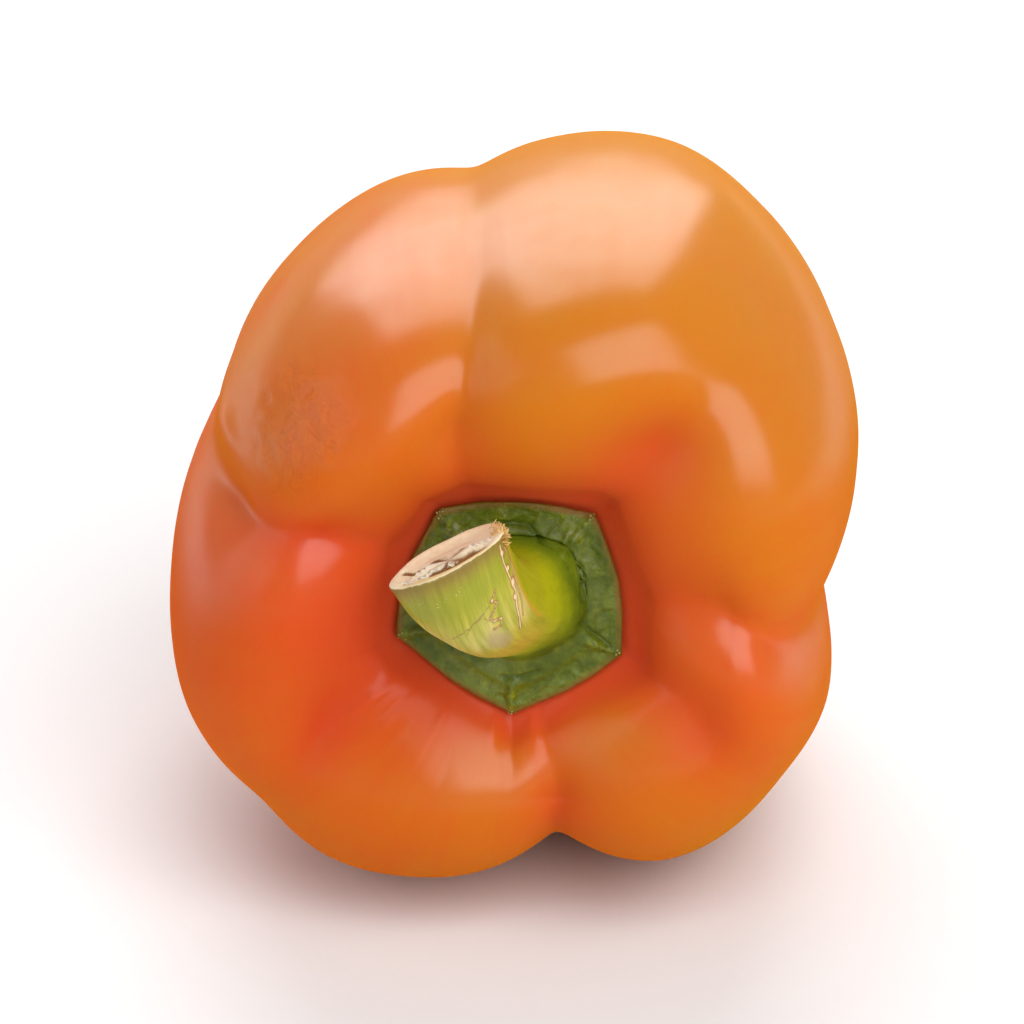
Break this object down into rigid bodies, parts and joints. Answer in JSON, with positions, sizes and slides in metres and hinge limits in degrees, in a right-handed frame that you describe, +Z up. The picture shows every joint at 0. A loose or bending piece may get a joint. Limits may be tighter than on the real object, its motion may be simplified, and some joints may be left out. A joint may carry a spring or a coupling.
{
  "type": "bell pepper",
  "caption": "Blocky lobed bell pepper lying on its side, with a pentagonal green calyx and a short bent stem that was cut off.",
  "frame": {"origin": "middle of the object's own box in plan, on the surface that it lies on", "axes": "+Z up; the stem end faces -Y and the blossom end +Y; +X is to the right seen from the stem end"},
  "size_m": [0.0842, 0.1006, 0.086],
  "materials": {
    "fruit": "smooth waxy orange skin, glossy",
    "stem": "green plant tissue, faintly wrinkled, satin"
  },
  "bodies": {
    "root": {"fruit": "fruit", "stem": "stem"}
  },
  "joints": []
}
